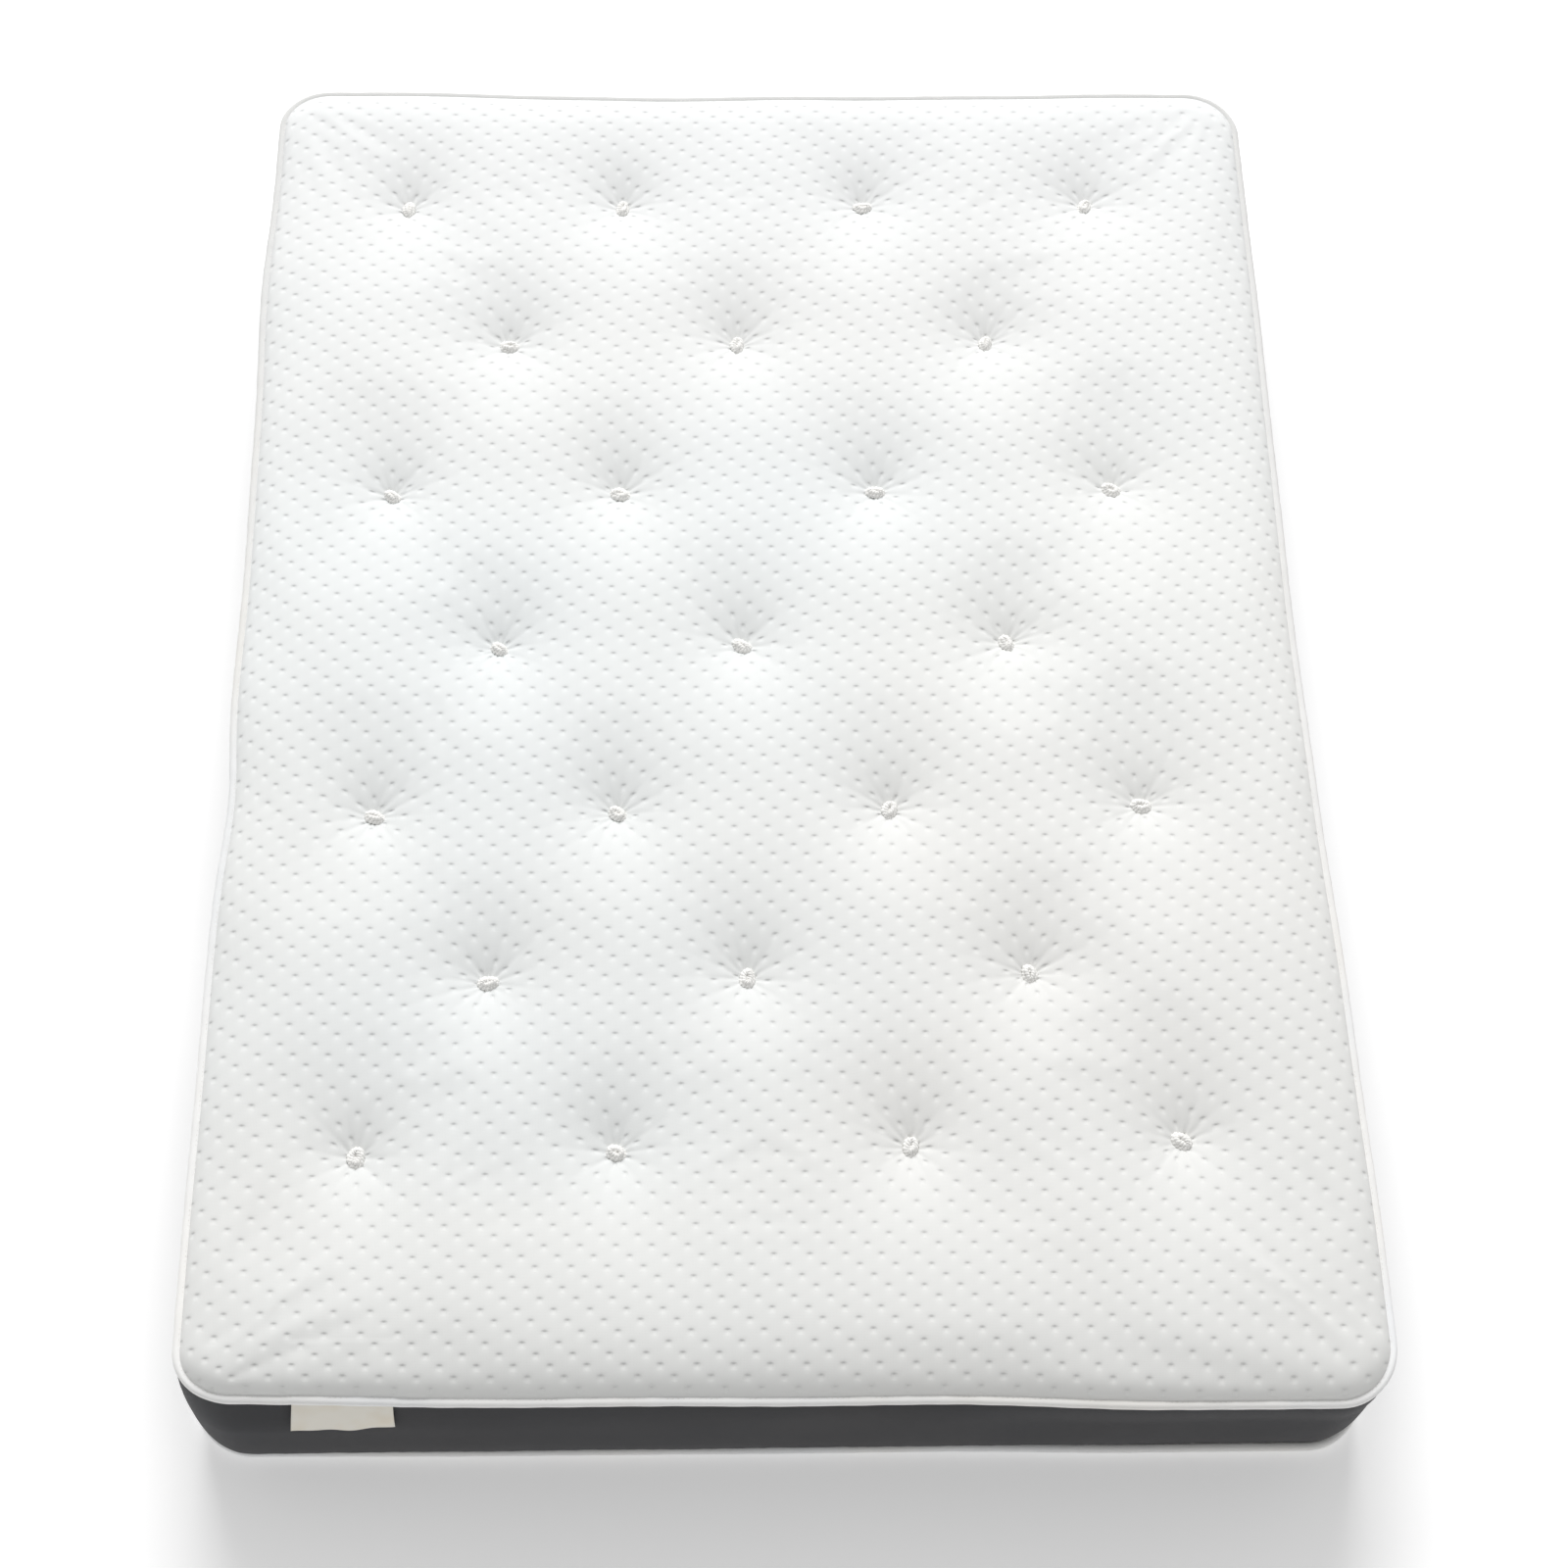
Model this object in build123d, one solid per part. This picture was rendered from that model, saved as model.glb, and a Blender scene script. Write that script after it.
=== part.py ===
from build123d import *
import os

# Memory foam mattress, a UK double, in millimetres. The origin is on the floor under its middle.
# +Z is up and +Y runs from the foot end, which carries the label, to the head end.
WIDTH = 1350.0
LENGTH = 1900.0
CORNER_RADIUS = 68.0

# The stack of layers, from the floor up.
BOTTOM_PANEL_THICKNESS = 2.0
BOTTOM_PAD_THICKNESS = 14.0
BASE_FOAM_THICKNESS = 114.0
MEMORY_FOAM_THICKNESS = 50.0
TOP_PAD_THICKNESS = 39.0
TOP_PANEL_THICKNESS = 3.0

# The border band bows outwards between the tape edges and is backed by a strip of foam.
BORDER_THICKNESS = 3.0
BORDER_BOW = 5.5
BORDER_TOP = 190.0
BACKING_INSET = 14.0

# Tape edges: oval rolls over the seams, given by centre height, inset of the centre and half sizes.
TOP_TAPE_HEIGHT = 197.0
TOP_TAPE_HALF_WIDTH = 6.0
BOTTOM_TAPE_HEIGHT = 9.0
BOTTOM_TAPE_HALF_WIDTH = 6.0
TAPE_HALF_HEIGHT = 6.4
TAPE_OUTER_INSET = 1.0
TAPE_GAP = 0.5

# The top panel rolls over from its crown to the tape.
SHOULDER_RADIUS = 23.0

# Tufts pull the panels in, in rows of four and three counted from the foot end. Each row is given by
# its distance along the mattress and the places of its tufts across it. The rows lie a little askew.
FOUR_IN_ROW = (-488.0, -194.0, 138.0, 448.0)
THREE_IN_ROW = (-344.0, -39.0, 296.0)
FOOT_ROW = (-487.0, -192.0, 145.0, 458.0)
TUFT_ROWS = (
    (-652.0, FOOT_ROW),
    (-436.0, THREE_IN_ROW),
    (-212.0, FOUR_IN_ROW),
    (26.0, THREE_IN_ROW),
    (260.0, FOUR_IN_ROW),
    (502.0, THREE_IN_ROW),
    (740.0, FOUR_IN_ROW),
)
ROW_SKEW = 0.014
TOP_WELL_DEPTH = 25.0
TOP_WELL_SEAT_RADIUS = 17.0
TOP_WELL_SLOPE = 1.7
BOTTOM_WELL_DEPTH = 9.0
BOTTOM_WELL_SEAT_RADIUS = 14.0
BOTTOM_WELL_SLOPE = 2.0
TOP_TUFT_LENGTH = 27.0
TOP_TUFT_WIDTH = 21.0
TOP_TUFT_HEIGHT = 9.0
BOTTOM_TUFT_LENGTH = 22.0
BOTTOM_TUFT_WIDTH = 17.0
BOTTOM_TUFT_HEIGHT = 6.0
TUFT_ROUNDING = 2.8
TUFT_TURN = 67.0
TWINE_RADIUS = 1.5
TWINE_HOLE_RADIUS = 2.2

# The cloth label hangs from under the top tape at the foot end.
LABEL_WIDTH = 110.0
LABEL_HEIGHT = 45.0
LABEL_THICKNESS = 0.8
LABEL_CENTRE_X = -488.0
LABEL_TOP = 190.5
LABEL_INSET = 0.1

BOTTOM_PAD_TOP = BOTTOM_PANEL_THICKNESS + BOTTOM_PAD_THICKNESS
BASE_FOAM_TOP = BOTTOM_PAD_TOP + BASE_FOAM_THICKNESS
MEMORY_FOAM_TOP = BASE_FOAM_TOP + MEMORY_FOAM_THICKNESS
TOP_PAD_TOP = MEMORY_FOAM_TOP + TOP_PAD_THICKNESS
CROWN = TOP_PAD_TOP + TOP_PANEL_THICKNESS
TOP_PANEL_INSET = TAPE_OUTER_INSET + 2 * TOP_TAPE_HALF_WIDTH + TAPE_GAP
BOTTOM_PANEL_INSET = TAPE_OUTER_INSET + 2 * BOTTOM_TAPE_HALF_WIDTH + TAPE_GAP
TOP_SEAT = CROWN - TOP_WELL_DEPTH
BORDER_BOTTOM = BOTTOM_PAD_TOP
BORDER_MIDDLE = (BORDER_BOTTOM + BORDER_TOP) / 2

ON_FLOOR = (Align.CENTER, Align.CENTER, Align.MIN)


def slab(inset, low, high):
    """Level slab whose outline lies a given inset inside the mattress outline."""
    corner = CORNER_RADIUS - inset
    outline = RectangleRounded(WIDTH - 2 * inset, LENGTH - 2 * inset, corner)
    return Pos(0, 0, low) * extrude(outline, high - low)


def crowned_slab(inset, low, high, shoulder):
    """Slab whose upper rim is rounded over."""
    block = slab(inset, low, high)
    return fillet(block.faces().sort_by(Axis.Z)[-1].edges(), shoulder)


def carried_round(section):
    """Cross-section carried round the outline. Its x is the distance outside the outline."""
    half_x = WIDTH / 2 - CORNER_RADIUS
    half_y = LENGTH / 2 - CORNER_RADIUS
    side = extrude(Plane.XZ * Pos(WIDTH / 2, 0) * section, half_y, both=True)
    end = extrude(Plane.XZ * Pos(LENGTH / 2, 0) * section, half_x, both=True)
    corner = revolve(Plane.XZ * Pos(CORNER_RADIUS, 0) * section, Axis.Z, 90)
    pieces = [side, Rot(0, 0, 180) * side, Rot(0, 0, 90) * end, Rot(0, 0, -90) * end]
    for turn, x, y in ((0, 1, 1), (90, -1, 1), (180, -1, -1), (270, 1, -1)):
        pieces.append(Pos(x * half_x, y * half_y, 0) * Rot(0, 0, turn) * corner)
    return pieces[0] + pieces[1:]


def tuft_places():
    """Row and column numbers and plan position of every tuft."""
    places = []
    for row, (y, columns) in enumerate(TUFT_ROWS, 1):
        for column, x in enumerate(columns, 1):
            places.append((row, column, x, y + ROW_SKEW * x))
    return places


def at_tufts(tool):
    """Copies of a tool at every tuft."""
    return [Pos(x, y, 0) * tool for row, column, x, y in tuft_places()]


def twine_holes(low, high):
    """Holes that let the tufting twine through a layer."""
    margin = 1.0
    hole = Cylinder(TWINE_HOLE_RADIUS, high - low + 2 * margin, align=ON_FLOOR)
    return at_tufts(Pos(0, 0, low - margin) * hole)


def top_well(seat):
    """Conical well whose flat seat is at a given height, cutting well past the crown."""
    height = TOP_WELL_DEPTH + 10.0
    rim = TOP_WELL_SEAT_RADIUS + TOP_WELL_SLOPE * height
    return Pos(0, 0, seat) * Cone(TOP_WELL_SEAT_RADIUS, rim, height, align=ON_FLOOR)


def bottom_well(low, seat):
    """Conical well in the underside, from a low level up to its seat."""
    height = seat - low
    rim = BOTTOM_WELL_SEAT_RADIUS + BOTTOM_WELL_SLOPE * height
    return Pos(0, 0, low) * Cone(rim, BOTTOM_WELL_SEAT_RADIUS, height, align=ON_FLOOR)


def bottom_panel():
    """Base cloth, drawn up into a shallow well at every tuft."""
    flat = slab(BOTTOM_PANEL_INSET, 0, BOTTOM_PANEL_THICKNESS)
    raised = at_tufts(bottom_well(0, BOTTOM_WELL_DEPTH + BOTTOM_PANEL_THICKNESS))
    hollow = at_tufts(bottom_well(-BOTTOM_PANEL_THICKNESS, BOTTOM_WELL_DEPTH))
    holes = twine_holes(BOTTOM_WELL_DEPTH, BOTTOM_PAD_TOP)
    return flat + raised - hollow - holes


def bottom_fibre_pad():
    """Felt between the base cloth and the foam, with room for the wells."""
    pad = slab(BOTTOM_PANEL_INSET, BOTTOM_PANEL_THICKNESS, BOTTOM_PAD_TOP)
    wells = at_tufts(bottom_well(0, BOTTOM_WELL_DEPTH + BOTTOM_PANEL_THICKNESS))
    return pad - wells - twine_holes(0, BOTTOM_PAD_TOP)


def foam_layer(low, high):
    """One flat foam layer with a hole for the twine under every tuft."""
    return slab(BACKING_INSET, low, high) - twine_holes(low, high)


def top_fibre_pad():
    """Polyester fibre under the top panel, pressed down under every tuft."""
    inset = TOP_PANEL_INSET + TOP_PANEL_THICKNESS
    shoulder = SHOULDER_RADIUS - TOP_PANEL_THICKNESS
    pad = slab(BACKING_INSET, MEMORY_FOAM_TOP, BORDER_TOP)
    pad += crowned_slab(inset, BORDER_TOP, TOP_PAD_TOP, shoulder)
    wells = at_tufts(top_well(TOP_SEAT - TOP_PANEL_THICKNESS))
    return pad - wells - twine_holes(MEMORY_FOAM_TOP, CROWN)


def top_panel(pad):
    """Knitted top panel: a thin shell that follows the pad, its wells and its shoulder."""
    low = TOP_TAPE_HEIGHT - TOP_PANEL_THICKNESS
    cover = crowned_slab(TOP_PANEL_INSET, low, CROWN, SHOULDER_RADIUS)
    cover -= at_tufts(top_well(TOP_SEAT))
    return cover - pad - twine_holes(low, CROWN)


def border_arc(inset):
    """Bowed line up the border, a given inset inside its outer face."""
    ends = -BORDER_BOW - inset
    foot = (ends, BORDER_BOTTOM)
    head = (ends, BORDER_TOP)
    return ThreePointArc(foot, (-inset, BORDER_MIDDLE), head)


def border_section(outer, inner):
    """Closed section between two upright lines."""
    foot = Line(inner @ 0, outer @ 0)
    head = Line(outer @ 1, inner @ 1)
    return make_face([outer, head, inner, foot])


def side_border():
    """Border fabric, a band that bows outwards."""
    return carried_round(border_section(border_arc(0), border_arc(BORDER_THICKNESS)))


def border_backing():
    """Foam strip that backs the border fabric."""
    inner = Line((-BACKING_INSET, BORDER_BOTTOM), (-BACKING_INSET, BORDER_TOP))
    return carried_round(border_section(border_arc(BORDER_THICKNESS), inner))


def tape_edge(half_width, height):
    """Oval tape roll over the seam between a panel and the border."""
    middle = -TAPE_OUTER_INSET - half_width
    return carried_round(Pos(middle, height) * Ellipse(half_width, TAPE_HALF_HEIGHT))


def tuft(length, width, height):
    """Oval rosette of yarn, its upper and lower rims rounded."""
    block = extrude(Ellipse(length / 2, width / 2), height)
    rims = block.edges().group_by(Axis.Z)
    return fillet(rims[0] + rims[-1], TUFT_ROUNDING)


def turned_tuft(block, row, column, x, y, low):
    """A tuft in its well, each one turned differently as a hand leaves them."""
    turn = TUFT_TURN * (row * len(FOUR_IN_ROW) + column) % 180
    return Pos(x, y, low) * Rot(0, 0, turn) * block


def label_flap():
    """Cloth label that hangs flat in front of the border."""
    y = -LENGTH / 2 + LABEL_INSET + LABEL_THICKNESS / 2
    middle = LABEL_TOP - LABEL_HEIGHT / 2
    return Pos(LABEL_CENTRE_X, y, middle) * Box(LABEL_WIDTH, LABEL_THICKNESS, LABEL_HEIGHT)


def in_row(row):
    """The places of one row of tufts."""
    return [place for place in tuft_places() if place[0] == row]


def main():
    os.makedirs("parts", exist_ok=True)
    pad = top_fibre_pad()
    nodes = {
        "bottom_panel": bottom_panel(),
        "bottom_fibre_pad": bottom_fibre_pad(),
        "base_foam_core": foam_layer(BOTTOM_PAD_TOP, BASE_FOAM_TOP),
        "memory_foam_layer": foam_layer(BASE_FOAM_TOP, MEMORY_FOAM_TOP),
        "top_fibre_pad": pad,
        "top_panel": top_panel(pad),
        "side_border": side_border(),
        "border_backing": border_backing(),
        "top_tape_edge": tape_edge(TOP_TAPE_HALF_WIDTH, TOP_TAPE_HEIGHT),
        "bottom_tape_edge": tape_edge(BOTTOM_TAPE_HALF_WIDTH, BOTTOM_TAPE_HEIGHT),
        "label_flap": label_flap(),
    }
    top = tuft(TOP_TUFT_LENGTH, TOP_TUFT_WIDTH, TOP_TUFT_HEIGHT)
    bottom = tuft(BOTTOM_TUFT_LENGTH, BOTTOM_TUFT_WIDTH, BOTTOM_TUFT_HEIGHT)
    bottom_low = BOTTOM_WELL_DEPTH - BOTTOM_TUFT_HEIGHT
    twine_length = TOP_SEAT - BOTTOM_WELL_DEPTH
    twine = Pos(0, 0, BOTTOM_WELL_DEPTH) * Cylinder(TWINE_RADIUS, twine_length, align=ON_FLOOR)
    for place in tuft_places():
        row, column = place[:2]
        nodes[f"top_tuft_{row}_{column}"] = turned_tuft(top, *place, TOP_SEAT)
    for row in range(1, len(TUFT_ROWS) + 1):
        places = in_row(row)
        rosettes = [turned_tuft(bottom, *place, bottom_low) for place in places]
        twines = [Pos(x, y, 0) * twine for r, c, x, y in places]
        nodes[f"bottom_tufts_row_{row}"] = Compound(children=rosettes)
        nodes[f"tufting_twine_row_{row}"] = Compound(children=twines)
    for name, shape in nodes.items():
        export_step(shape, f"parts/{name}.step")


main()
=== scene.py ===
import math

import bpy
import numpy as np
from mathutils import Matrix, Vector


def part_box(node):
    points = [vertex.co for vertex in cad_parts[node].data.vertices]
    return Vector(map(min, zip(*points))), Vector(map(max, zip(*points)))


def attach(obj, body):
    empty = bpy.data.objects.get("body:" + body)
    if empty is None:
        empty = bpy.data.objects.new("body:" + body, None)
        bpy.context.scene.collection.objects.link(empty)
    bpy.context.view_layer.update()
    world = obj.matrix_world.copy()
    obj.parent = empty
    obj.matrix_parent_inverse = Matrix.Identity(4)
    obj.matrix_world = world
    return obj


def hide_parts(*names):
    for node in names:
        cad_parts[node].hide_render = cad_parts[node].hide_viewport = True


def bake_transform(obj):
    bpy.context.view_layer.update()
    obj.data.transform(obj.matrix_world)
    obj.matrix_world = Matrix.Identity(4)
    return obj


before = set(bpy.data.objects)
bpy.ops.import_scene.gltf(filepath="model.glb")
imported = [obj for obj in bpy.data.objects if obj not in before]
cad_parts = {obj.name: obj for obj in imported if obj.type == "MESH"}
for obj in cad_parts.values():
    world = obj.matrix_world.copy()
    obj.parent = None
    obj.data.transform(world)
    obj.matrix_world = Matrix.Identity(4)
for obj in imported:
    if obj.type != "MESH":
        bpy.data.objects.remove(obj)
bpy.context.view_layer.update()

# Lengths are in millimetres until a mesh is made, then in metres.
MM = 0.001


def node_box(node):
    """Lowest and highest corner of a CAD node, in millimetres."""
    low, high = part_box(node)
    return np.array(low) / MM, np.array(high) / MM


def node_middle(node):
    """Centre of a CAD node's box, in millimetres."""
    low, high = node_box(node)
    return (low + high) / 2


# Sizes and places that the frame gives.
BORDER_LOW, BORDER_HIGH = node_box("side_border")
HALF = BORDER_HIGH[:2]
TAPE_LOW, TAPE_HIGH = node_box("top_tape_edge")
TAPE_LEVEL = (TAPE_LOW[2] + TAPE_HIGH[2]) / 2
LOWER_TAPE_LOW, LOWER_TAPE_HIGH = node_box("bottom_tape_edge")
LOWER_TAPE_LEVEL = (LOWER_TAPE_LOW[2] + LOWER_TAPE_HIGH[2]) / 2
PANEL_HIGH = node_box("top_panel")[1]
BASE_HIGH = node_box("bottom_panel")[1]
PAD_LOW, PAD_HIGH = node_box("top_fibre_pad")
LABEL_LOW, LABEL_HIGH = node_box("label_flap")
TUFT_NODES = sorted(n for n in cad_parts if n.startswith("top_tuft_"))
TUFT_MIDDLES = np.array([node_middle(n) for n in TUFT_NODES])
TUFT_SEAT = node_box(TUFT_NODES[0])[0][2]
LOWER_TUFT_NODES = sorted(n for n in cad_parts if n.startswith("bottom_tufts_row_"))

# The outline's corners, and the border: its bow, the spacing of its grid, its cloth, how far that is
# tucked behind the tapes and how far in the backing reaches.
CORNER_RADIUS = 68.0
BORDER_BOW = 5.5
BORDER_SPACING = 6.0
BORDER_THICKNESS = 1.8
BORDER_TUCK = 2.6
BACKING_INSET = 14.0

# The tape's half sizes, the angle round its section where it is creased, its rise over the label's sewn
# end, and the distance round it that its ribs are counted over.
TAPE_HALF_WIDTH = 5.0
TAPE_HALF_HEIGHT = 5.0
CREASE_ANGLE = 2.0
LABEL_LIFT = 2.6
TAPE_ROUND = 2 * math.pi * 8.5

# The knitted panel: embossed pits in rows that each start further along, and the grid that carries them.
PIT_REPEAT = 40.0
GRID_STEP = PIT_REPEAT / 13
PIT_SHIFT = 5 * GRID_STEP
PIT_ROWS = 4 * GRID_STEP
PIT_WIDE = 3.6
PIT_FAR = 2.2
PIT_NEAR = 6.3
PIT_DEPTH = 1.2
GRID_CELLS = (436, 616)
FLAT_HALF = np.array(GRID_CELLS) * GRID_STEP / 2

# The panel's sewn rim: how far under the tape it runs, and its height over the tape's middle.
RIM_TUCK = 4.5
RIM_LIFT = 2.5
RIM_HALF = PANEL_HIGH[:2] + RIM_TUCK
FLAT_CORNER = CORNER_RADIUS - HALF[0] + RIM_HALF[0] + (FLAT_HALF - RIM_HALF).mean()


# ---- meshes from grids ----


def grid_corners(rows, columns, wrap_rows=False, wrap_columns=False, flip=False):
    """Rows and columns of the corners of a grid's quads, counted on past the end where it wraps."""
    r, c = np.meshgrid(
        np.arange(rows if wrap_rows else rows - 1),
        np.arange(columns if wrap_columns else columns - 1),
        indexing="ij",
    )
    corner_rows = np.stack([r, r + 1, r + 1, r], -1).reshape(-1, 4)
    corner_columns = np.stack([c, c, c + 1, c + 1], -1).reshape(-1, 4)
    if flip:
        corner_rows, corner_columns = corner_rows[:, ::-1], corner_columns[:, ::-1]
    return corner_rows, corner_columns


def grid_faces(rows, columns, wrap_rows=False, wrap_columns=False, flip=False):
    """Point numbers of the corners of a grid's quads: row * columns + column."""
    corner_rows, corner_columns = grid_corners(rows, columns, wrap_rows, wrap_columns, flip)
    return corner_rows % rows * columns + corner_columns % columns


def make_piece(name, points, faces, maps=None):
    """A smooth mesh from millimetre points and arrays of faces. maps gives, for each UV map's name,
    one array of corner coordinates for each array of faces."""
    mesh = bpy.data.meshes.new(name)
    places = np.asarray(points, float).reshape(-1, 3) * MM
    corners = np.concatenate([f.ravel() for f in faces])
    sizes = np.concatenate([np.full(len(f), f.shape[1]) for f in faces])
    mesh.vertices.add(len(places))
    mesh.vertices.foreach_set("co", places.astype(np.float32).ravel())
    mesh.loops.add(len(corners))
    mesh.loops.foreach_set("vertex_index", corners.astype(np.int32))
    mesh.polygons.add(len(sizes))
    starts = np.concatenate([[0], np.cumsum(sizes)[:-1]])
    mesh.polygons.foreach_set("loop_start", starts.astype(np.int32))
    mesh.update(calc_edges=True)
    mesh.shade_smooth()
    for title, arrays in (maps or {}).items():
        layer = mesh.uv_layers.new(name=title)
        uv = np.concatenate([a.reshape(-1, 2) for a in arrays])
        layer.data.foreach_set("uv", uv.astype(np.float32).ravel())
    piece = bpy.data.objects.new(name, mesh)
    bpy.context.scene.collection.objects.link(piece)
    return piece


def finish_piece(piece, look, slot, *replaced):
    """Gives a piece its material, puts it on the mattress and hides the CAD nodes that it stands for;
    slot is not used.
    """
    piece.data.materials.append(look)
    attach(piece, "mattress")
    if replaced:
        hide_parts(*replaced)


def closed_sheet(name, front, back, laid):
    """A closed cloth: its front face and its back face as grids, and a strip round their rims. laid is
    where each point lies on the flat cloth, in millimetres."""
    rows, columns = front.shape[:2]
    count = rows * columns
    rim = grid_rim(rows, columns)
    strip = np.stack([rim, rim + count, ring_of(rim) + count, ring_of(rim)], -1)
    faces = [grid_faces(rows, columns), grid_faces(rows, columns, flip=True) + count, strip]
    points = np.concatenate([front.reshape(-1, 3), back.reshape(-1, 3)])
    both = np.concatenate([laid.reshape(-1, 2)] * 2) * MM
    return make_piece(name, points, faces, {"cloth": [both[f] for f in faces]})


def tube_grid(path, side, up, section):
    """A section carried along a path: point = path + side * section x + up * section y.
    section has one (x, y) for each step and each place round it."""
    across = side[:, None, :] * section[..., :1]
    return path[:, None, :] + across + up[:, None, :] * section[..., 1:]


def ring_of(indices):
    """The next index round a closed list."""
    return np.roll(indices, -1)


def grid_rim(rows, columns):
    """Indices round a grid's outer edge, anticlockwise seen from above, starting at its first point."""
    numbers = np.arange(rows * columns).reshape(rows, columns)
    first, last = numbers[:-1, 0], numbers[-1, :-1]
    return np.concatenate([first, last, numbers[:0:-1, -1], numbers[0, :0:-1]])


def grid_normals(points):
    """Unit normals of a grid of points: the cross product of its two directions."""
    along_rows = np.gradient(points, axis=0)
    along_columns = np.gradient(points, axis=1)
    normals = np.cross(along_rows, along_columns)
    return normals / np.linalg.norm(normals, axis=-1, keepdims=True)


def doubled(field, axis):
    """A grid with a new row between every two, by a cubic through the four nearest."""
    f = np.moveaxis(field, axis, 0)
    padded = np.concatenate([2 * f[:1] - f[1:2], f, 2 * f[-1:] - f[-2:-1]])
    middle = (9 * (padded[1:-2] + padded[2:-1]) - padded[:-3] - padded[3:]) / 16
    fine = np.empty((2 * len(f) - 1,) + f.shape[1:])
    fine[::2] = f
    fine[1::2] = middle
    return np.moveaxis(fine, 0, axis)


# ---- outline and rim ----


def smooth_step(value, low, high):
    """0 below low, 1 above high, and an S curve between."""
    t = np.clip((value - low) / (high - low), 0, 1)
    return t * t * (3 - 2 * t)


def bell(value, middle, width):
    """1 at the middle, falling smoothly to 0 about twice the width away."""
    return np.exp(-(((value - middle) / width) ** 2))


def outline(inset, spacing):
    """Points, outward directions and lengths round the mattress outline, evenly spaced. Straight runs
    join quarter turns whose centres stay put as the inset grows."""
    core = HALF - CORNER_RADIUS
    places, directions = [], []
    for corner, signs in enumerate(((1, 1), (-1, 1), (-1, -1), (1, -1))):
        angle = np.linspace(0, math.pi / 2, 25) + corner * math.pi / 2
        outward = np.stack([np.cos(angle), np.sin(angle)], -1)
        places.append(np.array(signs) * core + (CORNER_RADIUS - inset) * outward)
        directions.append(outward)
    places = np.concatenate(places + [places[0][:1]])
    directions = np.concatenate(directions + [directions[0][:1]])
    lengths = np.concatenate([[0], np.cumsum(np.linalg.norm(np.diff(places, axis=0), axis=1))])
    count = int(round(lengths[-1] / spacing / 4)) * 4
    where = np.arange(count) * lengths[-1] / count
    place = np.stack([np.interp(where, lengths, places[:, k]) for k in (0, 1)], -1)
    outward = np.stack([np.interp(where, lengths, directions[:, k]) for k in (0, 1)], -1)
    outward /= np.linalg.norm(outward, axis=1, keepdims=True)
    return place, outward, where


def edge_wander(x, y):
    """How far the sewn edge strays outwards and upwards from a true rectangle. The long sides draw in
    near their middles, each in its own way, both ends run a little askew, the corners pass smoothly
    from one to the other, and slow sines run all round."""
    left = 1.5 + 5 * bell(y, 590, 140) - 4.5 * bell(y, 150, 230) - 8 * bell(y, -195, 95)
    right = 4.5 - 11 * bell(y, 40, 420)
    foot = 10 * smooth_step(x, 150, 420) - 8.5 * smooth_step(-x, 250, 620)
    head = 8.5 * smooth_step(x, 120, 480) - 4 * bell(x, -150, 200)
    beyond = np.abs(x) - HALF[0] - np.abs(y) + HALF[1]
    beside = smooth_step(beyond, -CORNER_RADIUS, CORNER_RADIUS)
    out = beside * np.where(x < 0, left, right) + (1 - beside) * np.where(y < 0, foot, head)
    out = out + 0.6 * np.sin(x / 97 + y / 151 + 0.6) + 0.4 * np.sin(y / 53 - x / 71)
    up = 1.0 * np.sin(x / 83 - y / 127 + 2.1) + 0.5 * np.sin(x / 39 + y / 47)
    return out, up


def label_lift(x, y):
    """1 where the tape edge rides over the label's sewn end, else 0."""
    margin = 9.0
    inside = smooth_step(x, LABEL_LOW[0] - margin, LABEL_LOW[0] + 2)
    inside *= 1 - smooth_step(x, LABEL_HIGH[0] - 2, LABEL_HIGH[0] + margin)
    return inside * (y < -HALF[1] + CORNER_RADIUS)


def rounded(points, half, radius):
    """Squeezes a rectangle's corner blocks onto quarter discs: x becomes x * sqrt(1 - y² / 2r²), and y
    likewise, counted from each corner's centre."""
    over = np.maximum(np.abs(points) - (half - radius), 0)
    x, y = over[..., 0], over[..., 1]
    squeezed_x = x * np.sqrt(1 - y**2 / (2 * radius**2))
    squeezed_y = y * np.sqrt(1 - x**2 / (2 * radius**2))
    squeezed = np.stack([squeezed_x, squeezed_y], -1)
    return np.sign(points) * (np.abs(points) - over + squeezed)


def rim_distance(points, half, radius):
    """Distance in from a rounded outline, and the outward direction at each point."""
    q = np.abs(points) - (half - radius)
    beyond = np.maximum(q, 0)
    reach = np.linalg.norm(beyond, axis=-1)
    distance = radius - reach - np.minimum(q.max(-1), 0)
    nearest = (q == q.max(-1, keepdims=True)) * 1.0
    outward = np.where(reach[..., None] > 0, beyond / np.maximum(reach, 1e-9)[..., None], nearest)
    return distance, np.sign(points) * outward


# ---- top panel ----

SHOULDER_LENGTH = 55.0
SHOULDER_ANGLE = math.radians(80)
HEAD_SINK = 4.5
CROWN_REACH = 190.0
CROWN_RISE = 12.0
RIM_REACH = 90.0
WELL_SPREAD = 58.0
WELL_CUSP = 1.12
WELL_SEAT_RADIUS = 11.0
PULL = 12.0
PULL_REACH = 72.0
PLEAT_DEPTH = 1.9
PANEL_THICKNESS = 2.6
PAD_GAP = 4.5
STRIDE = 4
CLOTH_PRESSURE = 0.3
CLOTH_FRAMES = 20
CLOTH_REACH = 5.0
FILLING_HOLD = 0.02


def shoulder_curve():
    """Distance in over the cloth, distance in on plan and height. The slope falls from SHOULDER_ANGLE
    to level as the cube of the share of the shoulder still ahead."""
    cloth = np.linspace(0, SHOULDER_LENGTH, 200)
    slope = SHOULDER_ANGLE * (1 - cloth / SHOULDER_LENGTH) ** 3
    step = cloth[1]
    plan = np.concatenate([[0], np.cumsum(np.cos(slope[:-1]) * step)])
    height = np.concatenate([[0], np.cumsum(np.sin(slope[:-1]) * step)])
    return cloth, plan, height


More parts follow.
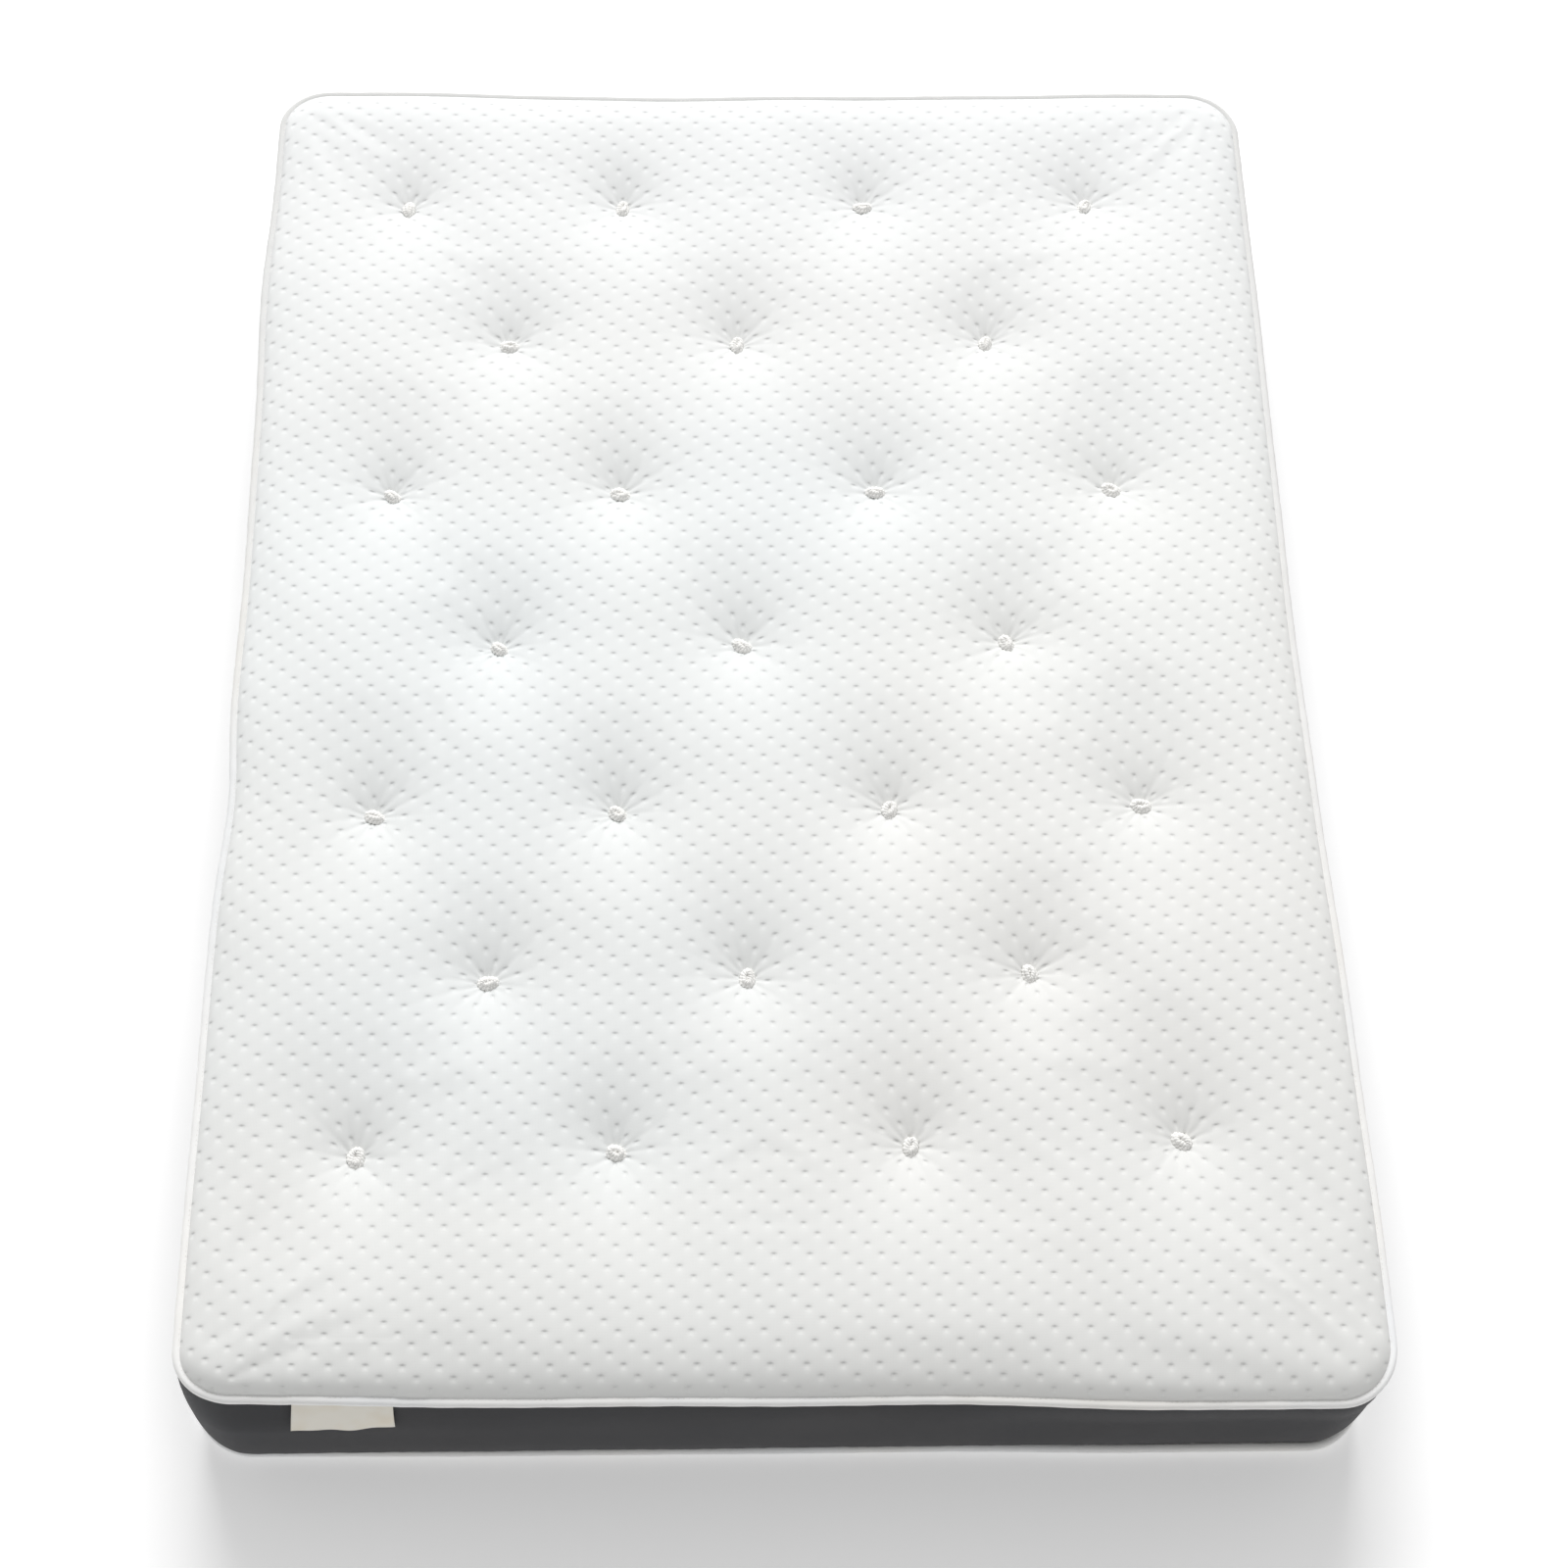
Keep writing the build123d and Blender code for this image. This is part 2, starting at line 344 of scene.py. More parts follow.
def flat_grid(stride):
    """The cut panel laid flat: an even grid, squeezed into its rounded outline."""
    x = (np.arange(0, GRID_CELLS[0] + 1, stride) - GRID_CELLS[0] / 2) * GRID_STEP
    y = (np.arange(0, GRID_CELLS[1] + 1, stride) - GRID_CELLS[1] / 2) * GRID_STEP
    points = np.stack(np.meshgrid(x, y, indexing="ij"), -1)
    return rounded(points, FLAT_HALF, FLAT_CORNER)


def well_share(distance):
    """How far down a well the cloth is: 1 on the seat, falling along a cusp to 0."""
    beyond = np.maximum(distance - WELL_SEAT_RADIUS, 0)
    return np.exp(-((beyond / WELL_SPREAD) ** WELL_CUSP)) * (1 - smooth_step(distance, 130, 230))


def from_tuft(flat, middle):
    """Offsets from a tuft over the flat cloth, and their lengths."""
    away = flat - middle[:2]
    return away, np.linalg.norm(away, axis=-1)


def all_wells(flat):
    """The wells of every tuft added up."""
    return sum(well_share(from_tuft(flat, middle)[1]) for middle in TUFT_MIDDLES)


def made_up_shape(flat):
    """The panel sewn at its rim and pulled in at its tufts, before its filling pushes it out: the flat
    cloth bent over the shoulder, lower behind the head end's tape, lowered by every well and drawn
    towards every tuft."""
    distance, outward = rim_distance(flat, FLAT_HALF, FLAT_CORNER)
    cloth, plan, height = shoulder_curve()
    taken_up = np.interp(distance, cloth, cloth - plan) / (cloth - plan)[-1]
    places = flat - outward * (FLAT_HALF - RIM_HALF) * (1 - taken_up)[..., None]
    rise = np.interp(distance, cloth, height)
    rise = rise + CROWN_RISE * (1 - np.maximum(1 - distance / CROWN_REACH, 0) ** 2)
    out, up = edge_wander(places[..., 0], places[..., 1])
    near_rim = 1 - smooth_step(distance, 0, RIM_REACH)
    up = up + LABEL_LIFT * label_lift(places[..., 0], places[..., 1])
    places = places + outward * (out * near_rim)[..., None]
    head = smooth_step(places[..., 1], 0.9 * HALF[1], 0.97 * HALF[1])
    rise = rise - HEAD_SINK * head * smooth_step(distance, 0, 7) * (1 - smooth_step(distance, 10, 45))
    level = TAPE_LEVEL + RIM_LIFT + rise + up * near_rim
    for middle in TUFT_MIDDLES:
        away, reach = from_tuft(flat, middle)
        share = well_share(reach)
        level = level + (TUFT_SEAT - level) * share
        pull = PULL * bell(reach, 0, PULL_REACH) * (1 - bell(reach, 0, 14))
        places = places - away / np.maximum(reach, 1e-6)[..., None] * pull[..., None]
    return np.concatenate([places, level[..., None]], -1)


def held_points(flat):
    """True where the panel can't move: its sewn rim and the seats of the tufts."""
    held = rim_distance(flat, FLAT_HALF, FLAT_CORNER)[0] < 0.1
    for middle in TUFT_MIDDLES:
        held |= from_tuft(flat, middle)[1] < WELL_SEAT_RADIUS
    return held


def filled_out(flat, start):
    """Cloth simulation: pressure stands for the filling, which presses the panel out between its tufts,
    while the rim and the seats stay put and the rest is held softly by the wadding. The cut panel laid
    flat gives the cloth's own lengths."""
    piece = make_piece("panel_simulation", start, [grid_faces(*start.shape[:2])])
    piece.shape_key_add(name="start")
    laid = piece.shape_key_add(name="laid_flat")
    level = np.full(flat.shape[:2] + (1,), TAPE_LEVEL)
    laid_points = np.concatenate([flat, level], -1) * MM
    laid.data.foreach_set("co", laid_points.astype(np.float32).ravel())
    held = held_points(flat).ravel()
    group = piece.vertex_groups.new(name="held")
    group.add(np.flatnonzero(held).tolist(), 1.0, "REPLACE")
    group.add(np.flatnonzero(~held).tolist(), FILLING_HOLD, "REPLACE")
    cloth = piece.modifiers.new("cloth", "CLOTH").settings
    cloth.rest_shape_key = laid
    cloth.vertex_group_mass = "held"
    cloth.quality = 4
    cloth.mass = 0.3
    cloth.tension_stiffness = 25
    cloth.compression_stiffness = 25
    cloth.shear_stiffness = 12
    cloth.bending_stiffness = 1.5
    cloth.tension_damping = 25
    cloth.use_pressure = True
    cloth.uniform_pressure_force = CLOTH_PRESSURE
    cloth.effector_weights.gravity = 0
    scene = bpy.context.scene
    for number in range(1, CLOTH_FRAMES + 1):
        scene.frame_set(number)
    evaluated = piece.evaluated_get(bpy.context.evaluated_depsgraph_get())
    found = np.empty(start.size, np.float32)
    evaluated.data.vertices.foreach_get("co", found)
    scene.frame_set(1)
    bpy.data.objects.remove(piece)
    moved = found.reshape(start.shape) / MM - start
    size = np.linalg.norm(moved, axis=-1, keepdims=True)
    return moved * np.minimum(1, CLOTH_REACH / np.maximum(size, 1e-6))


def pit_mask(flat):
    """1 in the middle of each embossed pit. Each falls like a bell, steeply on its head side and gently
    on its foot side. The pits lie in rows, and each row starts PIT_SHIFT further along."""
    nearest_row = np.round(-flat[..., 1] / PIT_ROWS)
    mask = np.zeros(flat.shape[:-1])
    for row in (nearest_row - 1, nearest_row, nearest_row + 1):
        x = flat[..., 0] - PIT_SHIFT * row
        x = x - PIT_REPEAT * np.round(x / PIT_REPEAT)
        y = flat[..., 1] + PIT_ROWS * row
        tall = np.maximum(y, 0) / PIT_FAR + np.minimum(y, 0) / PIT_NEAR
        mask += np.exp(-((x / PIT_WIDE) ** 2) - tall**2)
    return mask


def pleats(flat):
    """Depth of the small pleats that run out from every tuft: sharp folds at uneven angles, deepest at
    the seat and gone within a hand's breadth."""
    depth = np.zeros(flat.shape[:-1])
    random = np.random.default_rng(11)
    for middle in TUFT_MIDDLES:
        away, reach = from_tuft(flat, middle)
        angle = np.arctan2(away[..., 1], away[..., 0])
        count = random.integers(10, 14)
        phase = random.uniform(0, 2 * math.pi, 4)
        uneven = 0.5 * np.sin(angle + phase[0]) + 0.35 * np.sin(2 * angle + phase[1])
        uneven += 0.2 * np.sin(3 * angle + phase[2])
        fold = 1 - np.abs(np.sin((count * angle + phase[3]) / 2 + uneven))
        length = 30 + 9 * np.sin(2 * angle + phase[1]) + 6 * np.sin(5 * angle + phase[0])
        fade = np.exp(-np.maximum(reach - WELL_SEAT_RADIUS, 0) / length)
        start = smooth_step(reach, WELL_SEAT_RADIUS - 3, WELL_SEAT_RADIUS + 12)
        depth += PLEAT_DEPTH * fold**1.5 * fade * start
    return depth


def slack(flat):
    """Slow unevenness of the stretched knit: a sum of sines."""
    x, y = flat[..., 0], flat[..., 1]
    wave = np.sin(x / 31 + np.sin(y / 67)) * np.sin(y / 37 + np.sin(x / 59))
    return 0.35 * wave + 0.25 * np.sin((x + 0.6 * y) / 23)


def panel_surface():
    """The finished outer face of the top panel on the fine grid, and its flat coordinates."""
    flat = flat_grid(1)
    surface = made_up_shape(flat)
    coarse = flat_grid(2)
    moved = filled_out(coarse, made_up_shape(coarse))
    surface = surface + doubled(doubled(moved, 0), 1)
    return flat, surface


def top_panel(look, flat, surface):
    """Knitted panel as a closed shell: the outer face on the fine grid with its pits, pleats and slack,
    an inner face on every STRIDE-th line, and a strip between their rims."""
    free = smooth_step(rim_distance(flat, FLAT_HALF, FLAT_CORNER)[0], 2, 7)[..., None]
    relief = slack(flat) - PIT_DEPTH * pit_mask(flat) - pleats(flat)
    normals = grid_normals(surface)
    outer = surface + normals * relief[..., None] * free
    thickness = (PANEL_THICKNESS + 3.5 * all_wells(flat))[..., None]
    inner = (surface - normals * thickness)[::STRIDE, ::STRIDE]
    count = flat.shape[0] * flat.shape[1]
    rim = grid_rim(*flat.shape[:2])
    inner_rim = grid_rim(*inner.shape[:2]) + count
    steps = np.arange(0, len(rim), STRIDE)
    strip = [inner_rim, ring_of(inner_rim)]
    strip += [rim[(steps + k) % len(rim)] for k in range(STRIDE, -1, -1)]
    strip = np.stack(strip, -1)[:, ::-1]
    faces = [grid_faces(*flat.shape[:2]), grid_faces(*inner.shape[:2], flip=True) + count, strip]
    points = np.concatenate([outer.reshape(-1, 3), inner.reshape(-1, 3)])
    laid = np.concatenate([flat.reshape(-1, 2), flat[::STRIDE, ::STRIDE].reshape(-1, 2)]) * MM
    piece = make_piece("top_panel_knit", points, faces, {"cloth": [laid[f] for f in faces]})
    finish_piece(piece, look, "top_knit", "top_panel")


def fibre_pad(look, flat, surface):
    """Fibre pad under the panel: its top follows the panel a little below, its side drops over the
    memory foam's edge and its underside is level."""
    coarse = flat[::STRIDE, ::STRIDE]
    outward = rim_distance(coarse, FLAT_HALF, FLAT_CORNER)[1]
    normals = grid_normals(surface)[::STRIDE, ::STRIDE]
    top = surface[::STRIDE, ::STRIDE] - normals * (PAD_GAP + 5 * all_wells(coarse))[..., None]
    rim = grid_rim(*coarse.shape[:2])
    shrunk = coarse * (PAD_HIGH[:2] - 0.5) / FLAT_HALF
    edge = shrunk.reshape(-1, 2)[rim]
    drawn = np.minimum(edge_wander(edge[:, 0], edge[:, 1])[0], 0)[:, None]
    drawn = edge + outward.reshape(-1, 2)[rim] * drawn
    shelf = np.concatenate([drawn, np.full((len(edge), 1), BORDER_HIGH[2] - 1)], -1)
    base = np.concatenate([shrunk, np.full(coarse.shape[:2] + (1,), PAD_LOW[2] + 0.5)], -1)
    faces = grid_faces(*coarse.shape[:2])
    under = grid_faces(*coarse.shape[:2], flip=True)
    count = coarse.shape[0] * coarse.shape[1]
    ring = np.arange(len(rim)) + 2 * count
    upper = np.stack([rim, ring, ring_of(ring), ring_of(rim)], -1)
    lower = np.stack([ring, rim + count, ring_of(rim) + count, ring_of(ring)], -1)
    points = np.concatenate([top.reshape(-1, 3), base.reshape(-1, 3), shelf])
    piece = make_piece("fibre_pad", points, [faces, under + count, upper, lower])
    finish_piece(piece, look, "fibre_wadding", "top_fibre_pad")


# ---- tape edges ----


def tape_section(angle):
    """The tape's cross-section: a soft superellipse with a crease where it is sewn down, near its
    inner edge."""
    c, s = np.cos(angle), np.sin(angle)
    x = TAPE_HALF_WIDTH * np.sign(c) * np.abs(c) ** 0.85
    y = TAPE_HALF_HEIGHT * np.sign(s) * np.abs(s) ** 0.9
    crease = np.exp(-(((angle - CREASE_ANGLE) / 0.17) ** 2))
    return np.stack([x, y], -1) * (1 - 0.13 * crease)[..., None]


def tape_path(level, spacing, upper):
    """The tape's centre line with its wander, and its outward directions."""
    inset = HALF[0] - (TAPE_HIGH[0] - TAPE_HALF_WIDTH)
    place, outward, where = outline(inset, spacing)
    out, up = edge_wander(place[:, 0], place[:, 1])
    lift = label_lift(place[:, 0], place[:, 1])
    height = level + (up + LABEL_LIFT * lift if upper else 0 * up)
    place = place + outward * (out if upper else 0.4 * out)[:, None]
    path = np.concatenate([place, height[:, None]], -1)
    side = np.concatenate([outward, 0 * outward[:, :1]], -1)
    return path, side, where, lift


def tape_edge(name, look, node, level, upper):
    """A rolled tape edge: its section carried round the outline, its width and height breathing a
    little between the stitches."""
    around = 20
    path, side, where, lift = tape_path(level, 4.0, upper)
    angle = np.linspace(0, 2 * math.pi, around, endpoint=False)
    section = tape_section(angle)
    breath = 1 + 0.03 * np.sin(where / 17) * np.sin(where / 41 + 1) + 0.025 * np.sin(where / 7.3)
    breath = breath + (0.06 * lift if upper else 0)
    section = section[None] * breath[:, None, None]
    up = np.tile([0.0, 0.0, 1.0 if upper else -1.0], (len(path), 1))
    points = tube_grid(path, side, up, section)
    corner_rows, corner_columns = grid_corners(len(path), around, True, True, upper)
    u = corner_rows * where[1] * MM
    v = corner_columns * (TAPE_ROUND / around) * MM
    faces = grid_faces(len(path), around, True, True, upper)
    piece = make_piece(name, points, [faces], {"cloth": [np.stack([u, v], -1)]})
    finish_piece(piece, look, "tape", node)


def tape_stitches(name, look, level, upper):
    """A row of short thread stitches sunk in the tape's crease: each is a slim spindle."""
    pitch, length, radius = 6.0, 4.4, 0.42
    path, side, _, lift = tape_path(level, pitch, upper)
    along = np.roll(path, -1, 0) - path
    along /= np.linalg.norm(along, axis=1, keepdims=True)
    crease = tape_section(np.array([CREASE_ANGLE]))[0] * (1.0 + 0.06 * lift[:, None] * upper)
    up = np.tile([0.0, 0.0, 1.0 if upper else -1.0], (len(path), 1))
    middle = path + side * crease[:, :1] + up * crease[:, 1:]
    t = np.linspace(-1, 1, 5)
    width = radius * np.array([0.25, 0.85, 1.0, 0.85, 0.25])
    sink = -0.5 * t**2
    angle = np.linspace(0, 2 * math.pi, 6, endpoint=False)
    rings = middle[:, None, :] + along[:, None, :] * (t * length / 2)[None, :, None]
    rings = rings + up[:, None, :] * sink[None, :, None]
    across = side[:, None, None, :] * (np.cos(angle)[None, None, :, None] * width[None, :, None, None])
    rise = up[:, None, None, :] * (np.sin(angle)[None, None, :, None] * width[None, :, None, None])
    points = rings[:, :, None, :] + across + rise
    faces = grid_faces(5, 6, False, True, upper)
    caps = np.array([[5, 4, 3, 2, 1, 0], [24, 25, 26, 27, 28, 29]])
    caps = caps[:, ::-1] if upper else caps
    offsets = np.arange(len(path))[:, None, None] * 30
    all_faces = (faces[None] + offsets).reshape(-1, 4)
    all_caps = (caps[None] + offsets).reshape(-1, 6)
    piece = make_piece(name, points, [all_faces, all_caps])
    finish_piece(piece, look, "tape")


# ---- border ----


def border_face(place, where, t):
    """How far out of the outline the border's face lies and how much it is raised, at shares t of its
    height. It stands straight between the tapes, eases in and out in slow swells, puckers where it is
    sewn and follows the edge in its upper part."""
    x, y = place[:, :1], place[:, 1:]
    s = where[:, None]
    out, up = edge_wander(x, y)
    bow = -BORDER_BOW * np.abs(2 * t - 1) ** 3.2
    swell = 1.6 + 1.2 * np.sin(s / 131 + 2 * t) * np.sin(s / 57 + 1) + 0.7 * np.sin(s / 37 - 3 * t)
    swell = swell * np.sin(math.pi * t) ** 0.5
    fine = np.abs(np.sin(s / 9.1 + 1.2 * np.sin(s / 43))) * np.abs(np.sin(s / 23 + 2)) ** 0.5
    puckers = 0.75 * fine * (np.exp(-(1 - t) * 9) + 0.8 * np.exp(-t * 10))
    follow = smooth_step(t, 0.6, 1.0)
    under_label = 1.6 * label_lift(x, y) * smooth_step(t, 0.7, 0.97)
    return bow + swell - puckers + out * follow - under_label, up * follow


def ring_points(place, outward, offset, height):
    """A grid of points at offsets outside the outline and at heights."""
    level = place[:, None, :] + outward[:, None, :] * offset[..., None]
    return np.concatenate([level, np.broadcast_to(height, offset.shape)[..., None]], -1)


def side_border(look):
    """Border band: its face, and an inner face that closes it."""
    levels = 34
    place, outward, where = outline(0, BORDER_SPACING)
    t = np.linspace(0, 1, levels)
    tall = BORDER_HIGH[2] - BORDER_LOW[2]
    height = BORDER_LOW[2] - BORDER_TUCK + t * (tall + 2 * BORDER_TUCK)
    offset, raised = border_face(place, where, t)
    outer = ring_points(place, outward, offset, height + raised)
    inner = ring_points(place, outward, offset - BORDER_THICKNESS, height + raised)
    points = np.concatenate([outer, inner[:, ::-1]], 1)
    corner_rows, corner_columns = grid_corners(len(place), 2 * levels, True, True)
    u = corner_rows * where[1] * MM
    v = corner_columns * (height[1] - height[0]) * MM
    faces = grid_faces(len(place), 2 * levels, True, True)
    piece = make_piece("border_band", points, [faces], {"cloth": [np.stack([u, v], -1)]})
    finish_piece(piece, look, "border_cloth", "side_border")


def backing_strip(look):
    """Foam strip behind the border, from just inside its cloth to the foam core."""
    levels = 16
    place, outward, where = outline(0, 2 * BORDER_SPACING)
    t = np.linspace(0.01, 0.98, levels)
    height = BORDER_LOW[2] + t * (BORDER_HIGH[2] - BORDER_LOW[2])
    offset = border_face(place, where, t)[0]
    back = np.full(offset.shape, 0.3 - BACKING_INSET)
    face = np.maximum(offset - BORDER_THICKNESS - 0.4, back + 0.5)
    outer = ring_points(place, outward, face, height)
    inner = ring_points(place, outward, back, height)
    points = np.concatenate([outer, inner[:, ::-1]], 1)
    piece = make_piece("backing_strip", points, [grid_faces(len(place), 2 * levels, True, True)])
    finish_piece(piece, look, "backing_foam", "border_backing")


# ---- tufts ----


def yarn_loop(a, b, phase, lift, wobble, count):
    """A closed ring of yarn seen as an ellipse, uneven and rising and falling as it goes round."""
    t = np.linspace(0, 2 * math.pi, count, endpoint=False)
    reach = 1 + wobble * np.sin(3 * t + phase) + 0.6 * wobble * np.sin(5 * t - 2 * phase)
    x = a * reach * np.cos(t)
    y = b * reach * np.sin(t)
    z = lift + 0.7 * np.sin(2 * t + phase)
    return np.stack([x, y, z], -1)


def yarn(path, radius, twists, around):
    """Two-ply yarn on a closed path: a two-lobed section that turns as it goes along."""
    along = np.roll(path, -1, 0) - np.roll(path, 1, 0)
    along /= np.linalg.norm(along, axis=1, keepdims=True)
    side = np.cross(along, [0.0, 0.0, 1.0])
    side /= np.linalg.norm(side, axis=1, keepdims=True)
    up = np.cross(side, along)
    angle = np.linspace(0, 2 * math.pi, around, endpoint=False)
    turn = 2 * math.pi * twists * np.arange(len(path)) / len(path)
    lobes = radius * (0.76 + 0.30 * np.abs(np.cos(angle[None] - turn[:, None])))
    section = np.stack([lobes * np.cos(angle), lobes * np.sin(angle)], -1)
    return tube_grid(path, side, up, section)


def rosette(random, half_length, half_width, height):
    """The loops of one tuft about the origin, resting on its seat: a thick ring round a narrow slot, a
    smaller ring on top, a core that fills the slot and one strand across it."""
    phase = random.uniform(0, 2 * math.pi, 5)
    thick = 0.30 * half_length
    outer = yarn_loop(half_length - thick, half_width - thick, phase[0], thick, 0.05, 80)
    thin = 0.8 * thick
    a, b = half_length - 1.55 * thick, half_width - 1.6 * thick
    upper = yarn_loop(a, b, phase[1], height - thin, 0.07, 72)
    core = yarn_loop(0.45 * half_length, 0.12 * half_width, phase[2], 0.42 * height, 0.0, 40)
    strand = yarn_loop(0.16 * half_length, 0.55 * half_width, phase[3], height - 1.1 * thin, 0.1, 40)
    strand[:, 0] += random.uniform(-0.35, 0.35) * half_length
    strand[:, 2] -= 0.05 * strand[:, 1] ** 2
    return [
        yarn(outer, thick, 7, 12),
        yarn(upper, thin, 6, 12),
        yarn(core, 0.75 * thick, 3, 8),
        yarn(strand, 0.62 * thin, 3, 8),
    ]


def turned(points, angle):
    """Points turned about the upright axis."""
    c, s = math.cos(angle), math.sin(angle)
    return points @ np.array([[c, s, 0], [-s, c, 0], [0, 0, 1]])


def yarn_piece(name, groups):
    """One mesh from several closed yarn grids."""
    faces, total = [], 0
    for points in groups:
        faces.append(grid_faces(*points.shape[:2], True, True) + total)
        total += points.shape[0] * points.shape[1]
    return make_piece(name, np.concatenate([g.reshape(-1, 3) for g in groups]), faces)


# Half length, half width and height of a tuft, above and below.
TUFT_SIZE = (13.3, 9.8, 10.5)
LOWER_TUFT_SIZE = (11.0, 8.3)

# Degrees that each tuft is turned, row by row from the foot end and left to right.
TUFT_TURNS = (
    (88, 160, 82, 145),
    (8, 85, 102),
    (160, 145, 80, 170),
    (145, 150, 120),
    (140, 165, 175, 150),
    (0, 90, 80),
    (90, 85, 2, 60),
)


def top_tufts(look):
    """Every top tuft, seated in its well, turned and pulled up its own way."""
    random = np.random.default_rng(5)
    for node, middle in zip(TUFT_NODES, TUFT_MIDDLES):
        row, column = (int(word) for word in node.split("_")[2:])
        turn = math.radians(TUFT_TURNS[row - 1][column - 1])
        scale = random.uniform(0.93, 1.06)
        narrow = random.uniform(0.88, 1.08)
        loops = rosette(random, TUFT_SIZE[0] * scale, TUFT_SIZE[1] * scale * narrow, TUFT_SIZE[2])
        seat = np.array([middle[0], middle[1], TUFT_SEAT - 0.8])
        placed = [turned(points, turn) + seat for points in loops]
        piece = yarn_piece(node.replace("top_tuft", "tuft"), placed)
        finish_piece(piece, look, "tuft_yarn", node)


def bottom_tufts(look):
    """The smaller tufts of the underside, a row to a piece."""
    random = np.random.default_rng(6)
    middles = {n: [] for n in LOWER_TUFT_NODES}
    for node, middle in zip(TUFT_NODES, TUFT_MIDDLES):
        row = node.split("_")[2]
        middles["bottom_tufts_row_" + row].append(middle)
    for node, places in middles.items():
        low, high = node_box(node)
        groups = []
        for middle in places:
            loops = rosette(random, *LOWER_TUFT_SIZE, high[2] - low[2] + 1)
            turn = random.uniform(0, math.pi)
            seat = np.array([middle[0], middle[1], high[2]])
            flipped = np.array([1.0, -1.0, -1.0])
            groups += [turned(points, turn) * flipped + seat for points in loops]
        piece = yarn_piece(node.replace("bottom_", "lower_"), groups)
        finish_piece(piece, look, "tuft_yarn", node)


# ---- label ----


def label_cloth(look):
    """Blank cloth label: sewn in under the tape, then hanging down the border with a slight flare, a
    curl at its foot and a few soft creases. Front, back and edges close it."""
    across, down = 60, 34
    thickness = 0.7
    tucked = 7.0
    width = LABEL_HIGH[0] - LABEL_LOW[0]
    drop = LABEL_HIGH[2] - LABEL_LOW[2]
    u = np.linspace(0, 1, across)[:, None]
    s = np.linspace(-tucked, drop, down)[None, :]
    hang = np.clip(s, 0, None)
    share = hang / drop
    tuck = np.clip(-s, 0, None)
    x = LABEL_LOW[0] + width * u - 5.0 * share * (1 - u) + 0.8 * share * np.sin(5 * u)
    z = LABEL_HIGH[2] - hang + 0.25 * tuck
    foot_edge = np.concatenate([LABEL_LOW[0] + width * u, np.full(u.shape, -HALF[1])], -1)
    place, outward, where = outline(0, BORDER_SPACING)
    on_foot = (outward[:, 1] < -0.999) & (np.abs(place[:, 0]) < HALF[0] - CORNER_RADIUS)
    along = np.interp(foot_edge[:, 0], place[on_foot, 0], where[on_foot])
    t = np.clip((z[0] - BORDER_LOW[2]) / (BORDER_HIGH[2] - BORDER_LOW[2]), 0, 1)
    face = border_face(foot_edge, along, t)[0]
    creases = 0.7 * np.sin(9 * u + 2.5 * share) + 0.5 * np.sin(17 * u - 3 * share + 1)
    creases = creases + 0.4 * np.sin(6 * share + 5 * u) + 1.0
    flare = 2.6 * share**1.5 + 3.0 * share**3 * (1 - u) + 1.1 * creases * share**0.8
    out = face.max(1, keepdims=True) * share + face * (1 - share)
    out = out + 0.8 + flare - 1.03 * tuck
    middle = np.stack(np.broadcast_arrays(x, -HALF[1] - out, z), -1)
    half_thick = grid_normals(middle) * thickness / 2
    laid = np.stack(np.broadcast_arrays(u * width, s), -1)
    piece = closed_sheet("label_cloth", middle + half_thick, middle - half_thick, laid)
    piece.data.materials.append(look)
    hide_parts("label_flap")
    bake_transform(piece)


# ---- underside ----

BASE_STEP = 8.0
BASE_REACH = 3.0
BASE_LEVEL = 0.3
BASE_THICKNESS = 1.4


def bottom_cloth(look):
    """Base cloth: flat on the floor and drawn up into a shallow well at every lower tuft."""
    half = BASE_HIGH[:2] + BASE_REACH
    counts = np.round(half / BASE_STEP).astype(int) * 2
    x = np.linspace(-half[0], half[0], counts[0] + 1)
    y = np.linspace(-half[1], half[1], counts[1] + 1)
    inset = HALF[0] - half[0]
    flat = rounded(np.stack(np.meshgrid(x, y, indexing="ij"), -1), half, CORNER_RADIUS - inset)
    seat = node_box(LOWER_TUFT_NODES[0])[1][2]
    height = np.full(flat.shape[:2], BASE_LEVEL)
    for middle in TUFT_MIDDLES:
        away, reach = from_tuft(flat, middle)
        share = 1 - smooth_step(reach, 12, 32)
        angle = np.arctan2(away[..., 1], away[..., 0])
        folds = 0.5 * np.abs(np.sin(5 * angle)) * share * (1 - share)
        height = height + (seat - BASE_LEVEL) * share + folds
    distance = rim_distance(flat, half, CORNER_RADIUS - inset)[0]
    height = height + 2.5 * (1 - smooth_step(distance, 0, 14))
    outer = np.concatenate([flat, height[..., None]], -1)
    piece = closed_sheet("base_cloth", outer + np.array([0, 0, BASE_THICKNESS]), outer, flat)
    finish_piece(piece, look, "base_cloth", "bottom_panel")


# ---- materials ----


def add(tree, kind, *values, **settings):
    """One shader node. Its inputs are fed in order: a socket is linked, a value is set, None is left."""
    node = tree.nodes.new("ShaderNode" + kind)
    for key, value in settings.items():
        setattr(node, key, value)
    for socket, value in zip(node.inputs, values):
        feed(tree, socket, value)
    return node


def feed(tree, socket, value):
    """Links a socket to a socket, or sets its value."""
    if isinstance(value, bpy.types.NodeSocket):
        tree.links.new(value, socket)
    elif value is not None:
        socket.default_value = value


def maths(tree, operation, *values):
    """The result of a maths node."""
    return add(tree, "Math", *values, operation=operation).outputs[0]


def scaled_by(tree, vector, factor):
    """A vector times a factor."""
    node = add(tree, "VectorMath", vector, operation="SCALE")
    feed(tree, node.inputs["Scale"], factor)
    return node.outputs[0]


